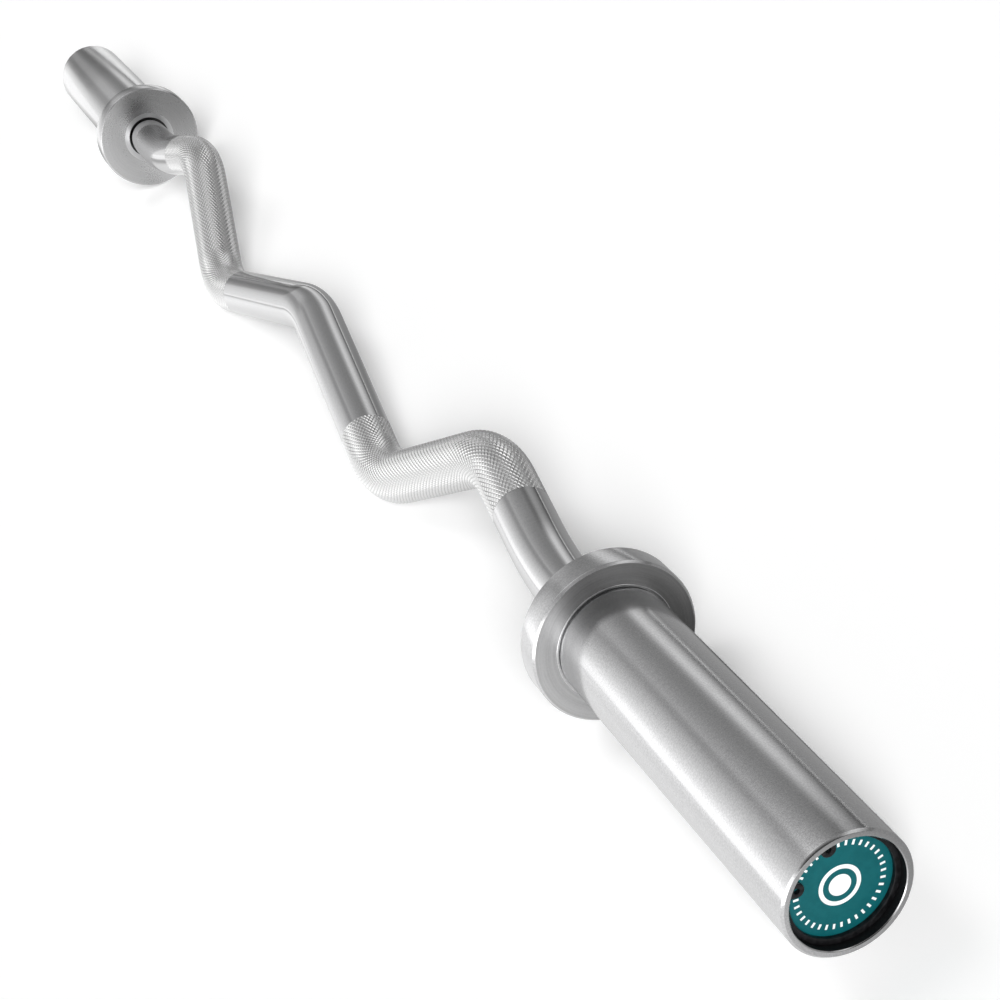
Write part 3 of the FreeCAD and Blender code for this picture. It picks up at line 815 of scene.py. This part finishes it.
def capOutline(size):
    return [
        (sleeve["capFloor"], 0, 0),
        (sleeve["capFloor"], size["radius"], size["rounding"]),
        (sleeve["capTop"], size["radius"], size["rounding"]),
        (sleeve["capTop"], size["inlay"], 0),
        (size["inlayFloor"], size["inlay"], 0),
        (size["inlayFloor"], 0, 0),
    ]


label = {"radius": 0.0204, "rounding": 0.0001}


def labelOutline(size):
    return [
        (cap["inlayFloor"], 0, 0),
        (cap["inlayFloor"], size["radius"], 0),
        (sleeve["capTop"], size["radius"], size["rounding"]),
        (sleeve["capTop"], 0, 0),
    ]


snapRing = {
    "inner": 0.0199, "outer": 0.0229, "halfOpening": 0.0055, "thickness": 0.002,
    "edge": 0.00025, "edgeSteps": 2, "sharpAngle": math.radians(35),
    "earRadius": 0.0028, "earHole": 0.0011, "earPlace": 0.0177, "earAngle": math.radians(29),
    "roll": math.radians(19), "outerSteps": 160, "innerSteps": 480, "holeSteps": 24,
}


def snapRingOutlines(size):  # flat outlines about the ring's centre, with its opening at the top
    def polar(radius, angle):  # angle from the top
        return (radius * math.sin(angle), radius * math.cos(angle))

    def arcAngles(radius, steps):  # round from one side of the opening to the other
        first = math.asin(size["halfOpening"] / radius)
        return [first + (fullTurn - 2 * first) * step / steps for step in range(steps + 1)]

    def innerReach(angle):  # the ring's bore, or the ear's rim where an ear stands inwards
        off = min(angle, fullTurn - angle) - size["earAngle"]
        half = size["earRadius"] ** 2 - (size["earPlace"] * math.sin(off)) ** 2
        if half <= 0 or math.cos(off) < 0:
            return size["inner"]
        return size["earPlace"] * math.cos(off) - math.sqrt(half)

    outline = [polar(size["outer"], angle) for angle in arcAngles(size["outer"], size["outerSteps"])]
    inward = reversed(arcAngles(size["inner"], size["innerSteps"]))
    outline += [polar(innerReach(angle), angle) for angle in inward]
    turns = [fullTurn * step / size["holeSteps"] for step in range(size["holeSteps"])]
    holes = []
    for hand in sides.values():
        across, up = polar(size["earPlace"], hand * size["earAngle"])
        holes.append([
            (across + size["earHole"] * math.cos(turn), up + size["earHole"] * math.sin(turn))
            for turn in turns])
    return [outline] + holes


def buildSnapRing(name, side):
    curve = bpy.data.curves.new(name, "CURVE")
    curve.dimensions = "2D"
    curve.fill_mode = "BOTH"
    curve.extrude = snapRing["thickness"] / 2 - snapRing["edge"]
    curve.bevel_depth = snapRing["edge"]
    curve.bevel_resolution = snapRing["edgeSteps"]
    curve.offset = -snapRing["edge"]
    for points in snapRingOutlines(snapRing):
        spline = curve.splines.new("POLY")
        spline.points.add(len(points) - 1)
        for point, (across, up) in zip(spline.points, points):
            point.co = (across, up, 0, 1)
        spline.use_cyclic_u = True
    mesh = plainMesh(addObject(name, curve))
    middle = side * (collarFace + sleeve["capTop"] + snapRing["thickness"] / 2)
    stand = Matrix(((0, 0, 1, middle), (1, 0, 0, 0), (0, 1, 0, axisHeight), (0, 0, 0, 1)))
    mesh.transform(stand @ Matrix.Rotation(snapRing["roll"], 4, "Z"))
    bm = bmesh.new()
    bm.from_mesh(mesh)
    bpy.data.meshes.remove(mesh)
    for face in bm.faces:
        face.smooth = True
    return finishMesh(name, bm, [blackOxide], snapRing["sharpAngle"])


sleeveFinishes = [satinChrome, recessPaintedShade]
collarFinishes = [satinChrome, turnedChrome, mouthChrome, facedChrome]
for hand, side in sides.items():
    body = hand + "_sleeve"
    sleevePiece = turnedPiece(
        hand + "Sleeve", sleeveOutline(sleeve), side, sleeveFinishes, pickFinish=sleeveFinish)
    handIn(sleevePiece, body, "satin_chrome", hand + "_sleeve")
    collarPiece = turnedPiece(
        hand + "Collar", collarOutline(collar), side, collarFinishes, pickFinish=collarFinish)
    handIn(collarPiece, body, "satin_chrome", hand + "_collar")
    capPiece = turnedPiece(hand + "EndCap", capOutline(cap), side, [capPlastic], closed=False)
    handIn(capPiece, body, "cap_plastic", hand + "_end_cap")
    labelPiece = turnedPiece(hand + "EndCapLabel", labelOutline(label), side, [labelPrint], closed=False)
    handIn(labelPiece, body, "label_print", hand + "_end_cap_label")
    handIn(buildSnapRing(hand + "EndCapSnapRing", side), body, "spring_steel", hand + "_end_cap_snap_ring")
print("sleeves, collars and caps ready")


# Inner pieces keep their own shapes

innerFinishes = {"shaft_seal": sealRubber, "retaining_ring": blackOxide}  # by words in their names
for name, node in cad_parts.items():
    finish = bearingSteel
    for words, special in innerFinishes.items():
        if words in name:
            finish = special
    node.data.materials.clear()
    node.data.materials.append(finish)
print("inner pieces finished")


# Floor and light

def withLightPatches(tree, light, cloths, along, across):  # the light, changed where each patch lies: the tent's cloths, and painted light and shade on the floor
    for lightPatch in cloths:
        share = calc(tree, "MULTIPLY", window(tree, along, *lightPatch["along"]),
                     window(tree, across, *lightPatch["across"]))
        light = calc(tree, "MULTIPLY", light, calc(tree, "MULTIPLY_ADD", share, lightPatch["gain"], 1.0))
    return light


floorSettings = {
    "size": 120.0, "albedo": 0.92, "glow": 0.165,
    "litSide": -0.09, "shadySide": 0.045,  # along Y, for what the metal shows of the floor
    "litShare": 0.326, "shadyShare": 0.087,  # how much of the floor's own lit colour the metal shows; the rest is painted shade
    # Light added to it on either side, along X
    "litGlow": [(-2.0, 1.15), (-0.76, 1.02), (-0.69, 0.6), (-0.61, 0.3), (-0.53, 0.3), (-0.46, 0.7),
                (-0.36, 1.0), (-0.24, 1.1), (-0.15, 0.95), (0.1, 1.0), (0.22, 0.86)],
    "shadyGlow": [(-0.95, 1.0), (-0.65, 0.4), (-0.55, 0.33), (-0.2, 0.33), (0.0, 0.22), (0.2, 0.32)],
}
# Painted light and shade on the floor, seen by the metal alone: each patch starts, is full, fades and ends,
# along X and Y
paintedFloorPatches = [
    {"along": (0.36, 0.42, 0.54, 0.6), "across": (-0.02, 0.01, 0.042, 0.056), "gain": -0.85},  # painted shade under the near sleeve
    {"along": (-0.47, -0.42, -0.34, -0.3), "across": (-0.02, 0.0, 0.06, 0.1), "gain": 0.9},  # painted light by the far collar
]


def buildFloor(settings):
    material, tree = emptyMaterial("paleFloor")
    path = addNode(tree, "ShaderNodeLightPath").outputs
    inMetal = calc(tree, "MAXIMUM", path["Is Glossy Ray"], path["Is Transmission Ray"])
    parts = split(tree, objectCoords(tree))

    def toShadySide(litLevel, shadyLevel):
        return span(tree, parts["Y"], settings["litSide"], settings["shadySide"], litLevel, shadyLevel)

    # For metal, the floor's colour is darkened, most on the +Y side: painted shade in the floor that the
    # metal reflects
    paintedShadeForMetal = calc(tree, "MULTIPLY", inMetal, toShadySide(1 - settings["litShare"], 1 - settings["shadyShare"]))
    pale = (settings["albedo"],) * 3 + (1,)
    colour = blendColours(tree, paintedShadeForMetal, pale, (0, 0, 0, 1))
    surface = wire(tree, "ShaderNodeBsdfDiffuse", {"Color": colour})["BSDF"]
    litGlow = levels(tree, parts["X"], settings["litGlow"])
    shadyGlow = levels(tree, parts["X"], settings["shadyGlow"])
    light = calc(tree, "MULTIPLY", inMetal, toShadySide(litGlow, shadyGlow))
    light = withLightPatches(tree, light, paintedFloorPatches, parts["X"], parts["Y"])
    light = calc(tree, "MULTIPLY_ADD", path["Is Camera Ray"], settings["glow"], light)
    glow = wire(tree, "ShaderNodeEmission", {"Strength": light})["Emission"]
    both = addNode(tree, "ShaderNodeAddShader")
    feedInOrder(tree, both.inputs, (surface, glow))
    putOut(tree, both.outputs[0])
    bm = bmesh.new()
    bmesh.ops.create_grid(bm, x_segments=1, y_segments=1, size=settings["size"] / 2)
    floor = meshObject("floor", bm, [material])


tentSettings = {
    "radius": 3.0, "length": 100.0, "steps": 96,
    # Degrees round the bar's axis from the +Y side, and the brightness there
    "nearBands": [(0, 0.22), (5, 0.22), (11, 0.5), (17, 0.7), (24, 0.92), (31, 0.95), (37, 0.66), (43, 0.42),
                  (49, 0.33), (62, 0.34), (75, 0.4), (88, 0.5), (96, 0.6), (102, 0.45), (108, 0.44),
                  (120, 0.7), (132, 0.9), (144, 1.12), (156, 1.4), (166, 1.85), (180, 1.85)],
    "farBands": [(0, 0.22), (5, 0.22), (11, 0.5), (17, 0.68), (24, 0.95), (31, 0.9), (38, 0.45), (46, 0.3),
                 (56, 0.32), (68, 0.4), (86, 0.64), (104, 0.66), (114, 0.45), (126, 0.46), (146, 0.72),
                 (159, 0.97), (172, 1.12), (180, 1.15)],
    "bandChange": (-3.5, -5.6),  # along X, where the near bands turn into the far ones
}
# Each cloth starts, is full, fades and ends, along X and in degrees
tentCloths = [
    {"along": (-1.7, -1.35, -0.5, 0.3), "across": (54, 80, 98, 120), "gain": 2.3},  # overhead
    {"along": (3.0, 3.8, 6.5, 9), "across": (-1, 0, 122, 136), "gain": -0.85},  # in front, past overhead
    {"along": (0.5, 2.5, 3.0, 4.0), "across": (130, 148, 180, 181), "gain": 1.2},  # low on the -Y side
    {"along": (-2.4, -1.6, -0.6, 0.2), "across": (-1, 0, 40, 56), "gain": -0.55},  # on the +Y side
    {"along": (-50, -49, -11, -9.4), "across": (-1, 0, 140, 158), "gain": -0.4},  # the deep end
]


def buildTent(settings):  # a light tent over the bar, with brighter and darker cloths
    material, tree = emptyMaterial("tentCloth")
    parts = split(tree, objectCoords(tree))
    height = calc(tree, "SUBTRACT", parts["Z"], axisHeight)
    degrees = calc(tree, "DEGREES", calc(tree, "ARCTAN2", height, parts["Y"]))
    farShare = rise(tree, parts["X"], *settings["bandChange"])
    nearShare = calc(tree, "SUBTRACT", 1.0, farShare)
    near = calc(tree, "MULTIPLY", levels(tree, degrees, settings["nearBands"]), nearShare)
    light = calc(tree, "MULTIPLY_ADD", levels(tree, degrees, settings["farBands"]), farShare, near)
    light = withLightPatches(tree, light, tentCloths, parts["X"], degrees)
    putOut(tree, wire(tree, "ShaderNodeEmission", {"Strength": light})["Emission"])
    bm = bmesh.new()
    half = settings["length"] / 2
    rows = []
    for step in range(settings["steps"] + 1):
        angle = math.pi * step / settings["steps"]
        y = settings["radius"] * math.cos(angle)
        z = settings["radius"] * math.sin(angle) + axisHeight
        rows.append([bm.verts.new((x, y, z)) for x in (-half, half)])
    for row, following in zip(rows, rows[1:]):
        bm.faces.new((row[0], row[1], following[1], following[0]))
    tent = meshObject("lightTent", bm, [material])
    tent.visible_camera = False
    tent.visible_diffuse = False
    tent.visible_shadow = False


# The key light comes from over the camera, the other from behind the bar
keySun = {"towards": (0.858, -0.12, 0.5), "spread": math.radians(26), "strength": 3.48}
backSun = {"towards": (-0.42, -0.12, 0.9), "spread": math.radians(24), "strength": 0.43}


def buildSun(name, settings):  # a broad light, which the metal doesn't show: the tent alone shows in it
    data = bpy.data.lights.new(name, "SUN")
    data.angle = settings["spread"]
    data.energy = settings["strength"]
    sun = addObject(name, data)
    sun.matrix_world = Vector(settings["towards"]).to_track_quat("Z", "Y").to_matrix().to_4x4()
    sun.visible_glossy = False


worldSettings = {"ambient": 0.24, "colour": (1, 1, 1, 1)}


def buildWorld(settings):  # white where it is seen, dim where it lights
    world = bpy.data.worlds.new("studio")
    world.use_nodes = True
    tree = world.node_tree
    path = addNode(tree, "ShaderNodeLightPath").outputs
    seen = calc(tree, "MAXIMUM", path["Is Camera Ray"], path["Is Glossy Ray"])
    seen = calc(tree, "MAXIMUM", seen, path["Is Transmission Ray"])
    sky = tree.nodes["Background"]
    sky.inputs["Color"].default_value = settings["colour"]
    tree.links.new(calc(tree, "MAXIMUM", seen, settings["ambient"]), sky.inputs["Strength"])
    bpy.context.scene.world = world


buildFloor(floorSettings)
buildTent(tentSettings)
buildSun("keySun", keySun)
buildSun("backSun", backSun)
buildWorld(worldSettings)
print("floor and light ready")


# Camera, at the photograph's view

cameraSettings = {
    "place": (1.08775, -0.05565, 0.55049), "aim": (0.27871, 0.00522, 0.036),
    "roll": math.radians(-35.204), "lens": 75.745,
}


def buildCamera(settings):
    place = Vector(settings["place"])
    forward = (Vector(settings["aim"]) - place).normalized()
    level = forward.cross(Vector((0, 0, 1))).normalized()
    upright = level.cross(forward)
    right = level * math.cos(settings["roll"]) + upright * math.sin(settings["roll"])
    up = upright * math.cos(settings["roll"]) - level * math.sin(settings["roll"])
    data = bpy.data.cameras.new("camera")
    data.sensor_fit = "HORIZONTAL"
    data.lens = settings["lens"]
    camera = addObject("camera", data)
    turn = Matrix((right, up, -forward)).transposed().to_4x4()
    camera.matrix_world = Matrix.Translation(place) @ turn
    bpy.context.scene.camera = camera


buildCamera(cameraSettings)
bpy.context.scene.view_settings.view_transform = "Standard"
print("camera ready")
